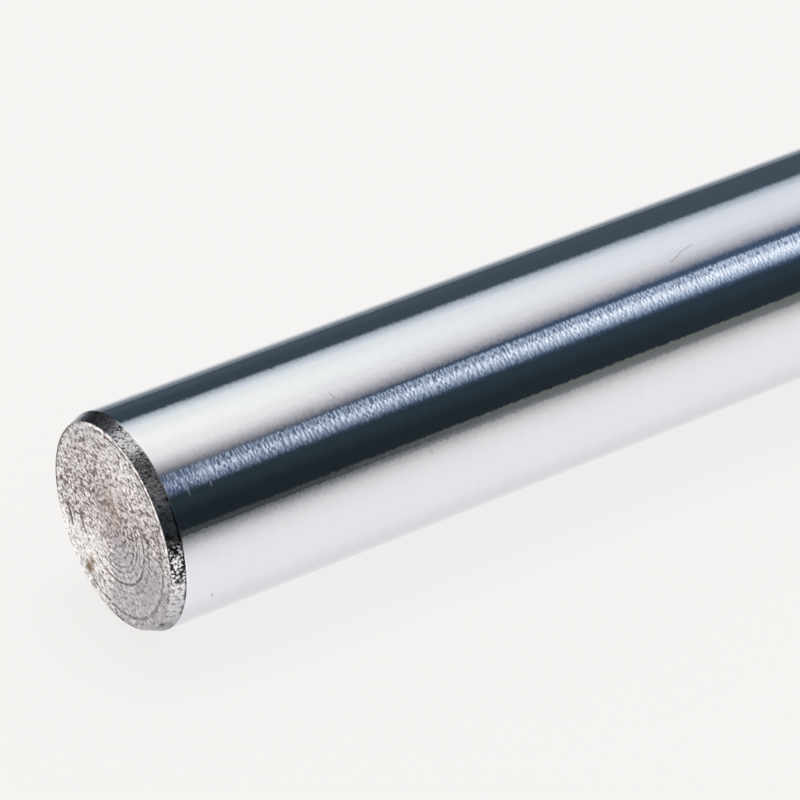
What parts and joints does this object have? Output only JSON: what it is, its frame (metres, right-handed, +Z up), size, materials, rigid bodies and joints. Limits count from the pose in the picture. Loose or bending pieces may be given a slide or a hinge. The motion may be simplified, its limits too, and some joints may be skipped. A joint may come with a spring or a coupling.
{
  "type": "linear shaft",
  "caption": "Straight solid round steel shaft, ground to a bright finish, with a shallow lead-in chamfer at each end; a guide for linear bushings.",
  "frame": {"origin": "on the shaft's axis, halfway along its length", "axes": "+X along the shaft, from the near end to the far end; +Z up with the shaft lying level"},
  "size_m": [0.3, 0.03, 0.03],
  "materials": {
    "ground_steel": "hardened steel, ground bright round the diameter; the cut end faces and chamfers are matt and pitted"
  },
  "bodies": {
    "root": {"shaft": "ground_steel"}
  },
  "joints": []
}
